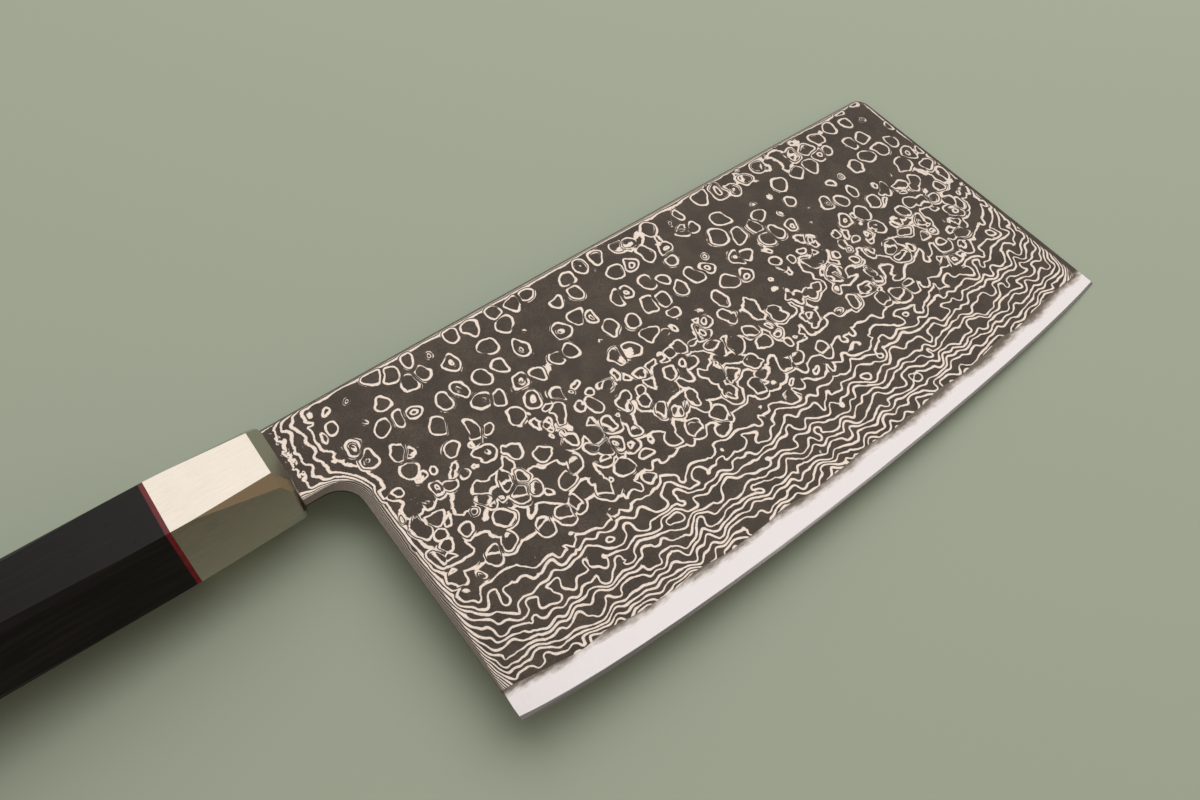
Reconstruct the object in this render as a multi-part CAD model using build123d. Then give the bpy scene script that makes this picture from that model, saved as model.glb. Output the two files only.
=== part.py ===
from build123d import *
import math
import os

# A chinese cleaver: a three-layer blade with a hidden tang, bedded in a faceted hexagonal handle
# that has a bevelled metal ferrule and a coloured spacer. Lengths are in millimetres.
# It is built along its own axis (X to the tip, Y to the spine, Z out of the blade's face, zero
# at the ferrule's back) and laid down at the end as it rests on a table.

# Blade outline
edge_length = 179.8
heel_depth = 74.3
tip_rise = 5.5
belly_depth = 4.65
belly_reach_share = 0.2
spine_height = 11.75
spine_slope_deg = 0.86
spine_arch = 0.35
neck_depth = 10.35
heel_setback = 10.55
heel_lean = 1.25
tip_lean = 1.9
choil_radius = 6.4
tip_corner_radius = 3.2

# Blade thickness and grinds
neck_thickness = 2.3
tip_thickness = 1.5
knee_height = 30.0
knee_thickness = 1.7
shoulder_thickness = 0.36
shoulder_drop_share = 1.5
edge_angle_deg = 17.0

# Easing of the blade's rim, measured into the blade's face
heel_ease = 3.4
choil_ease_radius = 8.0
neck_ease = 1.2
spine_ease = 1.0
tip_ease = 0.7
tang_ease = 0.3
rim_wall = 0.7

# Laminations
core_thickness = 0.56
core_band_at_heel = 6.9
core_band_at_tip = 5.3
wave_height = 0.32
wave_points = 65
long_waves = 8
short_waves = 15
short_wave_share = 0.5
short_wave_phase = 1.0

# Tang and its seat
tang_length = 92.0
tang_height = 9.0
tang_thickness = 1.8
neck_seat_depth = 4.0
neck_clearance = 0.1
slot_height = 10.4
slot_width = 3.0
bore_diameter = 11.5
bore_end_clearance = 4.0

# Ferrule, spacer and handle
ferrule_length = 24.8
ferrule_back_flats = 23.3
ferrule_front_flats = 22.1
spacer_thickness = 1.0
handle_length = 101.0
handle_butt_flats = 23.3
butt_ease = 1.4

# Facets that grow towards the ferrule's front
front_facet_start = 4.2
front_flat_inset = 0.85
front_side_inset = 3.9
front_ridge_start = 7.0
front_ridge_inset = 0.8

# Facets that grow towards the handle's butt
butt_facet_start = 6.5
butt_flat_inset = 3.4
butt_side_inset = 6.4
butt_ridge_start = 8.0
butt_ridge_inset = 1.1

# Nose of the ferrule
nose_bevel_length = 3.0
nose_bevel_drop = 3.9
nose_corner_length = 2.8
nose_corner_inset = 0.75
nose_round = 1.4
side_edge_share = 0.98

# Length that every cutting tool reaches past what it cuts
overrun = 20.0


def axis_place(x):
    """Return the drawing plane square to the knife's axis at x: local x is Y and local y is Z."""
    return Plane(origin=(x, 0, 0), x_dir=(0, 1, 0), z_dir=(1, 0, 0))


def level_place(z):
    """Return the drawing plane parallel to the blade's middle at height z."""
    return Plane(origin=(0, 0, z), x_dir=(1, 0, 0), z_dir=(0, 0, 1))


# Places along the knife that several pieces share
heel_x = ferrule_length + heel_setback
heel_corner = (heel_x + heel_lean, -heel_depth)
tip_depth = heel_depth - tip_rise
tip_corner = (heel_corner[0] + edge_length, -tip_depth)
spine_slope = math.tan(math.radians(spine_slope_deg))
spine_tip_x = tip_corner[0] - tip_lean
shoulder_x = ferrule_length - neck_seat_depth
tang_end_x = shoulder_x - tang_length


def cut_away(solid, through, outward):
    """Return the solid without what lies outside the plane through three points."""
    a, b, c = (Vector(*point) for point in through)
    normal = (b - a).cross(c - a).normalized()
    if normal.dot(Vector(*outward)) < 0:
        normal = -normal
    return split(solid, bisect_by=Plane(origin=a, z_dir=normal), keep=Keep.BOTTOM)


def spine_y(x):
    """Return the spine's height over the handle's axis at x."""
    return spine_height + (x - ferrule_length) * spine_slope


def edge_curve(lift=0.0, level=0.0):
    """Return the belly of the cutting edge, raised towards the spine by lift, at the given level."""
    reach = belly_reach_share * edge_length
    dip = belly_depth * 4 / 3
    points = [
        heel_corner,
        (heel_corner[0] + reach, heel_corner[1] - dip),
        (tip_corner[0] - reach, tip_corner[1] - dip),
        tip_corner,
    ]
    return Bezier(*[(x, y + lift, level) for x, y in points])


def blade_outline(level, neck=0.0, choil_arc=choil_radius, heel=0.0, spine=0.0, tip=0.0, tang=0.0):
    """Return the blade's outline with its tang as a face at a level, moved in by an ease on each side."""
    tang_y = tang_height / 2 - tang
    tang_x = tang_end_x + tang
    shoulder = shoulder_x + tang
    neck_y = -neck_depth + neck
    heel_line_x = heel_x + heel
    arc_start = (heel_line_x - choil_arc, neck_y)
    arc_end = (heel_line_x, neck_y - choil_arc)
    low_y = -heel_depth - overrun
    heel_slope = heel_lean / (heel_depth - neck_depth - choil_radius)
    heel_low = (heel_line_x + heel_slope * (arc_end[1] - low_y), low_y)
    tip_x = spine_tip_x - tip
    tip_top_y = spine_y(tip_x) - spine
    tip_slope = tip_lean / (spine_y(spine_tip_x) + tip_depth)
    tip_low = (tip_x + tip_slope * (tip_top_y - low_y), low_y)
    round_start = (tip_x - tip_corner_radius, spine_y(tip_x - tip_corner_radius) - spine)
    round_end = (tip_x + tip_slope * tip_corner_radius, tip_top_y - tip_corner_radius)
    spine_start = (shoulder, spine_y(shoulder) - spine)
    middle_x = (spine_start[0] + round_start[0]) / 2
    spine_middle = (middle_x, spine_y(middle_x) - spine + spine_arch)
    pieces = [
        Line((tang_x, tang_y), (shoulder, tang_y)),
        Line((shoulder, tang_y), spine_start),
        ThreePointArc(spine_start, spine_middle, round_start),
        TangentArc(round_start, round_end, tangent=(1, spine_slope)),
        Line(round_end, tip_low),
        Line(tip_low, heel_low),
        Line(heel_low, arc_end),
        TangentArc(arc_start, arc_end, tangent=(1, 0)),
        Line(arc_start, (shoulder, neck_y)),
        Line((shoulder, neck_y), (shoulder, -tang_y)),
        Line((shoulder, -tang_y), (tang_x, -tang_y)),
        Line((tang_x, -tang_y), (tang_x, tang_y)),
    ]
    return level_place(level) * make_face(Curve() + pieces)


def rim_easing():
    """Return the solid that gives the outline, its wall and the sloping ease around the rim."""
    wall = rim_wall / 2
    full = neck_thickness / 2
    grow = 1 + wall / full
    eased = dict(
        neck=neck_ease * grow,
        choil_arc=choil_ease_radius,
        heel=heel_ease * grow,
        spine=spine_ease * grow,
        tip=tip_ease * grow,
        tang=tang_ease,
    )
    reach = wall + (full - wall) * grow
    levels = [
        blade_outline(-reach, **eased),
        blade_outline(-wall),
        blade_outline(wall),
        blade_outline(reach, **eased),
    ]
    return loft(levels, ruled=True)


def tip_line_x(y):
    """Return where the blade's tip stands at a height."""
    top_y = spine_y(spine_tip_x)
    return spine_tip_x + tip_lean * (top_y - y) / (top_y + tip_depth)


def grind_at(x):
    """Return the heights of knee and shoulder at x, and the half thicknesses at spine, knee and shoulder."""
    share = max(0, (x - ferrule_length) / (tip_corner[0] - ferrule_length))
    knee_y = knee_height - heel_depth + tip_rise * share
    shoulder_y = knee_y - knee_height - shoulder_drop_share * belly_depth
    spine_half = (neck_thickness + (tip_thickness - neck_thickness) * share) / 2
    thinning = (neck_thickness - knee_thickness) / 2 / (spine_height + heel_depth - knee_height)
    knee_half = spine_half - thinning * (spine_y(x) - knee_y)
    shoulder_half = knee_half * shoulder_thickness / knee_thickness
    return knee_y, shoulder_y, spine_half, knee_half, shoulder_half


def grind_section(x):
    """Return the finer grind's section at x: a wedge whose flanks pass through the shoulder and the knee."""
    knee_y, shoulder_y, _, knee_half, shoulder_half = grind_at(x)
    top_y = spine_y(x) + overrun
    top_half = knee_half + (knee_half - shoulder_half) * (top_y - knee_y) / (knee_y - shoulder_y)
    upper = [(top_y, top_half), (shoulder_y, shoulder_half)]
    lower = [(y, -half) for y, half in reversed(upper)]
    return axis_place(x) * make_face(Polyline(*upper, *lower, close=True))


def blade_grind():
    """Return the ground blade: a plane and a finer wedge on each side, and the thinner tang."""
    places = (tang_end_x - overrun, ferrule_length, tip_corner[0] + overrun)
    wedge = loft([grind_section(x) for x in places], ruled=True)
    neck_knee_y = knee_height - heel_depth
    for side in (1, -1):
        flank = [
            (ferrule_length, spine_y(ferrule_length), side * neck_thickness / 2),
            (tip_corner[0], spine_y(tip_corner[0]), side * tip_thickness / 2),
            (ferrule_length, neck_knee_y, side * knee_thickness / 2),
        ]
        wedge = cut_away(wedge, flank, (0, 0, side))
    ahead = (Align.MIN, Align.CENTER, Align.CENTER)
    behind = (Align.MAX, Align.CENTER, Align.CENTER)
    front = Box(2 * edge_length, 4 * heel_depth, 2 * neck_thickness, align=ahead)
    back = Box(2 * tang_length, 4 * heel_depth, tang_thickness, align=behind)
    return wedge & (Pos(ferrule_length, 0, 0) * (front + back))


def edge_bevels():
    """Return the solid that grinds the cutting edge along the belly, from both faces."""
    slope = 1 / math.tan(math.radians(edge_angle_deg))
    reach = neck_thickness
    faces = []
    for level in (-reach, 0.0, reach):
        lift = abs(level) * slope
        belly = edge_curve(lift, level)
        start, end = belly @ 0, belly @ 1
        top_y = spine_y(tip_corner[0]) + overrun + lift
        left = start.X - tang_length - 2 * overrun
        right = end.X + overrun
        rim = Polyline(end, (right, end.Y, level), (right, top_y, level), (left, top_y, level),
                       (left, start.Y, level), start)
        faces.append(make_face(Curve() + [belly, rim]))
    return loft(faces, ruled=True)


def core_sheet():
    """Return the hard middle layer as a sheet that thins with the blade."""
    half = core_thickness / 2
    thin = half * tip_thickness / neck_thickness
    top_y = spine_y(tip_corner[0]) + overrun
    low_y = -heel_depth - overrun
    sections = []
    for x, z in ((tang_end_x - overrun, half), (ferrule_length, half), (tip_corner[0] + overrun, thin)):
        corners = Polyline((top_y, z), (low_y, z), (low_y, -z), (top_y, -z), close=True)
        sections.append(axis_place(x) * make_face(corners))
    return loft(sections, ruled=True)


def lamination_height(share):
    """Return how high the lamination line stands over the edge at a share of the edge's length."""
    mean = core_band_at_heel + (core_band_at_tip - core_band_at_heel) * share
    drift = math.sin(2 * math.pi * share)
    long_wave = math.sin(2 * math.pi * long_waves * share + drift)
    short_wave = math.sin(2 * math.pi * short_waves * share + short_wave_phase + drift)
    return mean + wave_height * (long_wave + short_wave_share * short_wave)


def bare_core_zone():
    """Return the prism below the wavy lamination line, where the core is ground bare."""
    belly = edge_curve()
    line = []
    for step in range(wave_points):
        share = step / (wave_points - 1)
        point = belly @ share
        line.append((point.X, point.Y + lamination_height(share)))
    start = (line[0][0] - overrun, line[0][1])
    end = (line[-1][0] + overrun, line[-1][1])
    low_y = -heel_depth - overrun
    under = Polyline(end, (end[0], low_y), (start[0], low_y), start)
    lamination = Spline(*line)
    zone = make_face(Curve() + [Line(start, line[0]), lamination, Line(line[-1], end), under])
    return extrude(zone, amount=overrun, both=True)


def hexagon(x, flats):
    """Return the handle's section at x: flats above and below, ridges level with the blade."""
    corner = flats / 2 / math.cos(math.pi / 6)
    return axis_place(x) * RegularPolygon(radius=corner, side_count=6)


def grow_facets(solid, start_x, end_x, start_flats, end_flats, flat_inset, side_inset):
    """Cut the four corners beside the flats by planes that run out at start_x."""
    lean = math.pi / 6
    start_corner = start_flats / 2 * math.tan(lean)
    end_corner = end_flats / 2 * math.tan(lean)
    for y_side in (1, -1):
        for z_side in (1, -1):
            apex = (start_x, y_side * start_corner, z_side * start_flats / 2)
            on_flat = (end_x, y_side * (end_corner - flat_inset), z_side * end_flats / 2)
            down = side_inset * math.cos(lean)
            out = side_inset * math.sin(lean)
            on_side = (end_x, y_side * (end_corner + out), z_side * (end_flats / 2 - down))
            solid = cut_away(solid, (apex, on_flat, on_side), (0, y_side, z_side))
    return solid


def grow_ridge_facets(solid, start_x, end_x, start_flats, end_flats, inset):
    """Cut the two ridges level with the blade by upright planes that run out at start_x."""
    start_ridge = start_flats / 2 / math.cos(math.pi / 6)
    end_ridge = end_flats / 2 / math.cos(math.pi / 6) - inset
    for side in (1, -1):
        apex = (start_x, side * start_ridge, 0)
        low = (end_x, side * end_ridge, -end_flats)
        high = (end_x, side * end_ridge, end_flats)
        solid = cut_away(solid, (apex, low, high), (0, side, 0))
    return solid


def flats_at(x):
    """Return the ferrule's size across its flats at x."""
    return ferrule_back_flats + (ferrule_front_flats - ferrule_back_flats) * x / ferrule_length


def bevel_nose(solid):
    """Bevel the ferrule's front: steep on the flats, shallow over the corner facets."""
    flat_end_x = ferrule_length - nose_bevel_length
    flat_z = flats_at(flat_end_x) / 2
    front_z = flat_z - nose_bevel_drop
    for z_side in (1, -1):
        line = [(flat_end_x, -overrun, z_side * flat_z), (flat_end_x, overrun, z_side * flat_z),
                (ferrule_length, 0, z_side * front_z)]
        solid = cut_away(solid, line, (1, 0, z_side))
    corner_x = ferrule_length - nose_corner_length
    corner_flats = flats_at(corner_x)
    lean = math.pi / 6
    grown = (corner_x - front_facet_start) / (ferrule_length - front_facet_start)
    corner = corner_flats / 2 * math.tan(lean)
    flat_y = corner - front_flat_inset * grown
    side_y = corner + front_side_inset * grown * math.sin(lean)
    side_z = corner_flats / 2 - front_side_inset * grown * math.cos(lean)
    facet = Vector(0, corner_flats / 2 - side_z, side_y - flat_y).normalized()
    inset_y = nose_corner_inset * facet.Y
    inset_z = nose_corner_inset * facet.Z
    for y_side in (1, -1):
        for z_side in (1, -1):
            plane = [
                (corner_x, y_side * flat_y, z_side * corner_flats / 2),
                (corner_x, y_side * side_y, z_side * side_z),
                (ferrule_length, y_side * (side_y - inset_y), z_side * (side_z - inset_z)),
            ]
            solid = cut_away(solid, plane, (0, y_side, z_side))
    return solid


def neck_seat():
    """Return the recess that the blade's neck fills at the ferrule's front."""
    depth = neck_seat_depth + overrun
    high = spine_y(ferrule_length) + neck_clearance
    low = -neck_depth - neck_clearance
    width = tang_thickness + 2 * neck_clearance
    recess = Box(depth, high - low, width, align=(Align.MIN, Align.MIN, Align.CENTER))
    return Pos(shoulder_x, low, 0) * recess


def tang_slot(start_x, end_x):
    """Return the slot for the tang through the ferrule and spacer."""
    slot = Box(end_x - start_x, slot_height, slot_width, align=(Align.MIN, Align.CENTER, Align.CENTER))
    return Pos(start_x, 0, 0) * slot


def handle_bore():
    """Return the round bore in the handle that the tang is bedded in."""
    depth = -spacer_thickness - tang_end_x + bore_end_clearance
    bore = Cylinder(bore_diameter / 2, depth, align=(Align.CENTER, Align.CENTER, Align.MAX))
    return axis_place(-spacer_thickness) * bore


def make_ferrule():
    """Return the metal ferrule: a tapering hexagon, faceted and bevelled towards the blade."""
    body = loft([hexagon(0, ferrule_back_flats), hexagon(ferrule_length, ferrule_front_flats)], ruled=True)
    start_flats = flats_at(front_facet_start)
    body = grow_facets(body, front_facet_start, ferrule_length, start_flats, ferrule_front_flats,
                       front_flat_inset, front_side_inset)
    body = grow_ridge_facets(body, front_ridge_start, ferrule_length, flats_at(front_ridge_start),
                             ferrule_front_flats, front_ridge_inset)
    body = bevel_nose(body)
    front = body.faces().sort_by(Axis.X)[-1]
    bevel_z = flats_at(ferrule_length - nose_bevel_length) / 2 - nose_bevel_drop
    side_edges = [edge for edge in front.edges() if abs(edge.center().Z) < bevel_z * side_edge_share]
    body = fillet(side_edges, nose_round)
    return body - neck_seat() - tang_slot(-overrun, shoulder_x)


def make_spacer():
    """Return the coloured spacer between ferrule and handle."""
    plate = extrude(hexagon(-spacer_thickness, ferrule_back_flats), amount=spacer_thickness)
    return plate - tang_slot(-overrun, overrun)


def make_handle():
    """Return the wooden handle: a hexagon whose corners are faceted more and more towards the butt."""
    front_x = -spacer_thickness
    butt_x = front_x - handle_length
    body = loft([hexagon(butt_x, handle_butt_flats), hexagon(front_x, ferrule_back_flats)], ruled=True)
    facet_x = front_x - butt_facet_start
    ridge_x = front_x - butt_ridge_start
    growth = (handle_butt_flats - ferrule_back_flats) / handle_length
    body = grow_facets(body, facet_x, butt_x, ferrule_back_flats + growth * butt_facet_start,
                       handle_butt_flats, butt_flat_inset, butt_side_inset)
    body = grow_ridge_facets(body, ridge_x, butt_x, ferrule_back_flats + growth * butt_ridge_start,
                             handle_butt_flats, butt_ridge_inset)
    butt = body.faces().sort_by(Axis.X)[0]
    body = chamfer(butt.edges(), butt_ease)
    return body - handle_bore()


def make_blade():
    """Return the blade's layers: the core with its bare edge, and the cladding of both faces."""
    whole = blade_grind() & rim_easing() & edge_bevels()
    skins = whole - core_sheet() - bare_core_zone()
    top, bottom = skins.solids().sort_by(Axis.Z, reverse=True)[:2]
    core = whole - top - bottom
    return whole, core, top, bottom


def make_bedding(blade):
    """Return the cured resin that fills the bore and slot around the tang."""
    fill = handle_bore() + tang_slot(-spacer_thickness, shoulder_x)
    return fill - blade


def ferrule_foot():
    """Return the corner under the ferrule that the knife lies on."""
    x = ferrule_length - nose_bevel_length
    half = flats_at(x) / 2
    grown = (x - front_facet_start) / (ferrule_length - front_facet_start)
    return Vector(x, front_flat_inset * grown - half * math.tan(math.pi / 6), -half)


def resting_turn():
    """Return the turn that lays the knife on the ferrule's foot, the knee's tip and the edge's tip."""
    knee_y, shoulder_y, _, knee_half, shoulder_half = grind_at(spine_tip_x)
    edge_share = (-tip_depth - shoulder_y) / (knee_y - shoulder_y)
    edge_half = shoulder_half + (knee_half - shoulder_half) * edge_share
    edge_y = edge_half / math.tan(math.radians(edge_angle_deg)) - tip_depth
    foot = ferrule_foot()
    knee = Vector(tip_line_x(knee_y) - tip_ease, knee_y, -knee_half)
    edge = Vector(tip_line_x(edge_y) - tip_ease, edge_y, -edge_half)
    up = (knee - foot).cross(foot - edge).normalized()
    ground = Plane(origin=foot, x_dir=(up.Z, 0, -up.X), z_dir=up)
    return ground.location.inverse()


def main():
    """Build every piece, lay the knife down and write one file per piece."""
    os.makedirs("parts", exist_ok=True)
    whole, core, top, bottom = make_blade()
    pieces = {
        "blade_core": core,
        "cladding_top": top,
        "cladding_bottom": bottom,
        "tang_bedding": make_bedding(whole),
        "ferrule": make_ferrule(),
        "spacer": make_spacer(),
        "handle": make_handle(),
    }
    laid = {name: resting_turn() * piece for name, piece in pieces.items()}
    box = Compound(list(laid.values())).bounding_box()
    base = Pos(-box.center().X, -box.center().Y, -box.min.Z)
    for name, piece in laid.items():
        export_step(base * piece, f"parts/{name}.step")
        print(name, round(piece.volume, 1), len(piece.faces()))


main()
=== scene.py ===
"""Studio picture of a chinese cleaver that lies on a pale sage table."""
import logging
import math
from collections.abc import Sequence
from dataclasses import dataclass, field
from enum import Enum
from functools import reduce
from typing import Union

import bpy
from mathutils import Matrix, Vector

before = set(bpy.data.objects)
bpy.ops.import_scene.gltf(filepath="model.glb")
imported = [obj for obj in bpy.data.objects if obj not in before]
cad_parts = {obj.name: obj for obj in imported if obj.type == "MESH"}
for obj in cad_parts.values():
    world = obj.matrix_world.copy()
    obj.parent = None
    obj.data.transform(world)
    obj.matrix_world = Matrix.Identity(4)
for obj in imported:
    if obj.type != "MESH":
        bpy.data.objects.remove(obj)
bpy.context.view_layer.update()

LOG = logging.getLogger("cleaver")

Socket = bpy.types.NodeSocket
Value = Union[float, Socket]
Colour = tuple[int, int, int]
Triple = tuple[float, float, float]

# The screen's colour curve: a straight foot, then a power
FULL_CHANNEL = 255
CURVE_FOOT = 0.04045
CURVE_FOOT_SLOPE = 12.92
CURVE_OFFSET = 0.055
CURVE_POWER = 2.4

# The value that a noise pattern swings about
NOISE_MIDDLE = 0.5


class Node(Enum):
    """The pieces of the knife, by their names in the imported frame."""

    CORE = "blade_core"
    CLADDING_TOP = "cladding_top"
    CLADDING_BOTTOM = "cladding_bottom"
    BEDDING = "tang_bedding"
    FERRULE = "ferrule"
    SPACER = "spacer"
    HANDLE = "handle"


@dataclass(frozen=True)
class Ramp:
    """A smooth step: where it starts and ends, and what it gives before and after."""

    start: float
    end: float
    low: float = 0.0
    high: float = 1.0


@dataclass(frozen=True)
class Fall:
    """A value that falls off: the reach in which it falls to about a third, and its height."""

    reach: float
    height: float


@dataclass(frozen=True)
class Grain:
    """A noise pattern: its patches in millimetres, its finer layers and their strength."""

    size: float
    detail: float
    roughness: float = 0.5


@dataclass(frozen=True)
class Bump:
    """A fine relief: how strongly it shows and its real height in metres."""

    strength: float
    reach: float


def linear(red: int, green: int, blue: int) -> tuple[float, float, float, float]:
    """Return a screen colour of 0 to 255 as linear light.

    Args:
        red: The red channel.
        green: The green channel.
        blue: The blue channel.

    Returns:
        The linear colour with full alpha.
    """
    channels = []
    for channel in (red, green, blue):
        share = channel / FULL_CHANNEL
        if share <= CURVE_FOOT:
            channels.append(share / CURVE_FOOT_SLOPE)
        else:
            channels.append(((share + CURVE_OFFSET) / (1 + CURVE_OFFSET)) ** CURVE_POWER)
    return channels[0], channels[1], channels[2], 1.0


class Graph:
    """A short way to write a node tree: each method adds nodes and returns their result."""

    # The mix node's inputs and result for colours, and its inputs for numbers
    COLOURS = (0, 6, 7)
    COLOUR_RESULT = 2
    NUMBERS = (0, 2, 3)

    def __init__(self, tree: bpy.types.NodeTree) -> None:
        """Take the tree to write in.

        Args:
            tree: A shader node tree.
        """
        self.tree = tree

    def node(self, kind: str, **settings: object) -> bpy.types.Node:
        """Add a node and set its properties.

        Args:
            kind: The node's type name.
            **settings: Properties of the node by name.

        Returns:
            The new node.
        """
        made = self.tree.nodes.new(kind)
        for name, value in settings.items():
            setattr(made, name, value)
        return made

    def feed(self, socket: Socket, value: object) -> None:
        """Link a socket to another one, or set its value.

        Args:
            socket: The input to feed.
            value: An output socket or a plain value.
        """
        if isinstance(value, bpy.types.NodeSocket):
            self.tree.links.new(value, socket)
        else:
            socket.default_value = value

    def fed(self, kind: str, values: Sequence[object], places: Sequence[Union[int, str]] = (),
            **settings: object) -> bpy.types.NodeOutputs:
        """Add a node and feed its inputs.

        Args:
            kind: The node's type name.
            values: What the inputs are fed with.
            places: The inputs' places or names, or none for the first inputs in order.
            **settings: Properties of the node by name.

        Returns:
            The node's outputs.
        """
        made = self.node(kind, **settings)
        for place, value in zip(places or range(len(values)), values):
            self.feed(made.inputs[place], value)
        return made.outputs

    def math(self, operation: str, a: Value, b: Value = 0.0, clamp: bool = False) -> Socket:
        """Return the result of a math operation, held between 0 and 1 if clamped."""
        return self.fed("ShaderNodeMath", (a, b), operation=operation, use_clamp=clamp)[0]

    def add(self, *values: Value) -> Socket:
        """Return the sum of the values."""
        return reduce(lambda total, value: self.math("ADD", total, value), values)

    def times(self, a: Value, b: Value) -> Socket:
        """Return a product."""
        return self.math("MULTIPLY", a, b)

    def less(self, a: Value, b: Value) -> Socket:
        """Return a difference."""
        return self.math("SUBTRACT", a, b)

    def most(self, a: Value, b: Value) -> Socket:
        """Return the larger of two values."""
        return self.math("MAXIMUM", a, b)

    def fade(self, value: Value, start: Value, end: Value, low: float = 0.0,
             high: float = 1.0) -> Socket:
        """Return a smooth step of a value.

        Args:
            value: What is stepped.
            start: Where the step starts.
            end: Where it ends.
            low: The result before the start.
            high: The result after the end.

        Returns:
            The stepped value.
        """
        values = (value, start, end, low, high)
        return self.fed("ShaderNodeMapRange", values, interpolation_type="SMOOTHSTEP")[0]

    def step(self, value: Value, ramp: Ramp) -> Socket:
        """Return a smooth step of a value along a ramp."""
        return self.fade(value, ramp.start, ramp.end, ramp.low, ramp.high)

    def decay(self, distance: Value, fall: Fall) -> Socket:
        """Return a value that falls off with distance."""
        power = self.math("EXPONENT", self.times(distance, -1 / fall.reach))
        return self.times(power, fall.height)

    def split(self, vector: Socket) -> tuple[Socket, ...]:
        """Return a vector's three parts."""
        return tuple(self.fed("ShaderNodeSeparateXYZ", (vector,)))

    def join(self, x: Value, y: Value, z: Value = 0.0) -> Socket:
        """Return a vector made of three parts."""
        return self.fed("ShaderNodeCombineXYZ", (x, y, z))[0]

    def vector(self, operation: str, a: object, b: object) -> Socket:
        """Return the result of an operation on two vectors."""
        return self.fed("ShaderNodeVectorMath", (a, b), operation=operation)["Vector"]

    def scale(self, vector: Socket, factor: Value) -> Socket:
        """Return a vector times a number."""
        return self.fed("ShaderNodeVectorMath", (vector, factor), (0, "Scale"),
                        operation="SCALE")["Vector"]

    def length(self, vector: Socket) -> Socket:
        """Return a vector's length."""
        return self.fed("ShaderNodeVectorMath", (vector,), operation="LENGTH")["Value"]

    def noise(self, vector: Socket, grain: Grain, flat: bool = True,
              colour: bool = False) -> Socket:
        """Return a noise pattern.

        Args:
            vector: Where the pattern is read, in millimetres.
            grain: Its size and finer layers.
            flat: Whether the pattern reads only the first two parts.
            colour: Whether three patterns come out at once instead of one.

        Returns:
            The pattern between 0 and 1.
        """
        values = (vector, 1 / grain.size, grain.detail, grain.roughness)
        places = ("Vector", "Scale", "Detail", "Roughness")
        made = self.fed("ShaderNodeTexNoise", values, places,
                        noise_dimensions="2D" if flat else "3D")
        return made["Color" if colour else "Fac"]

    def sway(self, vector: Socket, grain: Grain) -> Socket:
        """Return a flat noise pattern that swings about zero."""
        return self.less(self.noise(vector, grain), NOISE_MIDDLE)

    def stir(self, vector: Socket, grain: Grain, reach: Value, flat: bool = True) -> Socket:
        """Return a vector pushed about by noise.

        Args:
            vector: The vector to push, in millimetres.
            grain: The noise that pushes it.
            reach: How far it pushes, in millimetres.
            flat: Whether the noise reads only the first two parts.

        Returns:
            The pushed vector.
        """
        noise = self.noise(vector, grain, flat, colour=True)
        push = self.vector("SUBTRACT", noise, (NOISE_MIDDLE, NOISE_MIDDLE, NOISE_MIDDLE))
        return self.vector("ADD", vector, self.scale(push, reach))

    def cells(self, vector: Socket, size: float,
              scatter: float) -> tuple[Socket, Socket, Socket]:
        """Return a flat cell pattern.

        Args:
            vector: Where the pattern is read, in millimetres.
            size: The spacing of the cells in millimetres.
            scatter: How uneven the cells' places are.

        Returns:
            The distances to the cell's centre and border in cell sizes, and its random colour.
        """
        centre, border = (
            self.fed("ShaderNodeTexVoronoi", (vector, 1 / size, scatter),
                     ("Vector", "Scale", "Randomness"), voronoi_dimensions="2D", feature=feature)
            for feature in ("F1", "DISTANCE_TO_EDGE"))
        return centre["Distance"], border["Distance"], centre["Color"]

    def blend(self, factor: Value, a: object, b: object) -> Socket:
        """Return a mix of two colours: the first at 0, the second at 1."""
        mixed = self.fed("ShaderNodeMix", (factor, a, b), self.COLOURS, data_type="RGBA")
        return mixed[self.COLOUR_RESULT]

    def mix(self, factor: Value, a: Value, b: Value) -> Socket:
        """Return a mix of two numbers: the first at 0, the second at 1."""
        return self.fed("ShaderNodeMix", (factor, a, b), self.NUMBERS, data_type="FLOAT")[0]

    def bump(self, height: Socket, bump: Bump) -> Socket:
        """Return a surface normal raised by a height pattern between 0 and 1."""
        return self.fed("ShaderNodeBump", (bump.strength, bump.reach, height),
                        ("Strength", "Distance", "Height"))["Normal"]


@dataclass(frozen=True)
class KnifeAxis:
    """The knife's own frame in millimetres: along it, towards the spine, out of its face."""

    turn_deg: Triple = (-0.51151, -3.06864, 0.0)
    shift_mm: Triple = (57.4091, -31.2706, -9.0262)
    mm_per_metre: float = 1000.0

    def read(self, graph: Graph) -> Socket:
        """Return the shaded point in the knife's frame, in millimetres.

        Args:
            graph: The tree to write in.

        Returns:
            The point.
        """
        place = graph.node("ShaderNodeTexCoord").outputs["Object"]
        turn = tuple(math.radians(angle) for angle in self.turn_deg)
        values = (place, self.shift_mm, turn, (self.mm_per_metre,) * 3)
        return graph.fed("ShaderNodeMapping", values, ("Vector", "Location", "Rotation", "Scale"),
                         vector_type="POINT")["Vector"]


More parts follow.
